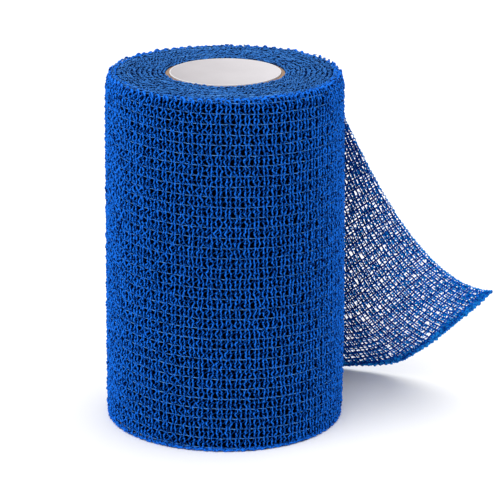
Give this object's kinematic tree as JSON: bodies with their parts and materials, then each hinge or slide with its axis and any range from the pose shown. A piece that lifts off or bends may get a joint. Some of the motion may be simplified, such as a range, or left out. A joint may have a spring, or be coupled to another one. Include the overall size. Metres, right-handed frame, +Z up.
{
  "type": "cohesive bandage roll",
  "caption": "Wound roll of stretchy blue cohesive crepe bandage standing on end, its last turn peeled into an open gauze fan.",
  "frame": {"origin": "under the middle of the whole object's box, on the surface that the roll stands on", "axes": "+Z up along the roll's own axis, +X towards the tip of the loose end, +Y towards the back, where the last turn peels off"},
  "size_m": [0.1106, 0.072, 0.1016],
  "materials": {
    "blue_crepe": "matt crinkled crepe, open knit over darker turns",
    "blue_gauze": "matt open gauze of crossed yarns",
    "kraft_board": "matt tan paperboard",
    "white_paper": "smooth, slightly glossy white paper"
  },
  "bodies": {
    "root": {"winding": "blue_crepe", "loose_end": "blue_gauze", "core": "kraft_board", "label": "white_paper"}
  },
  "joints": []
}
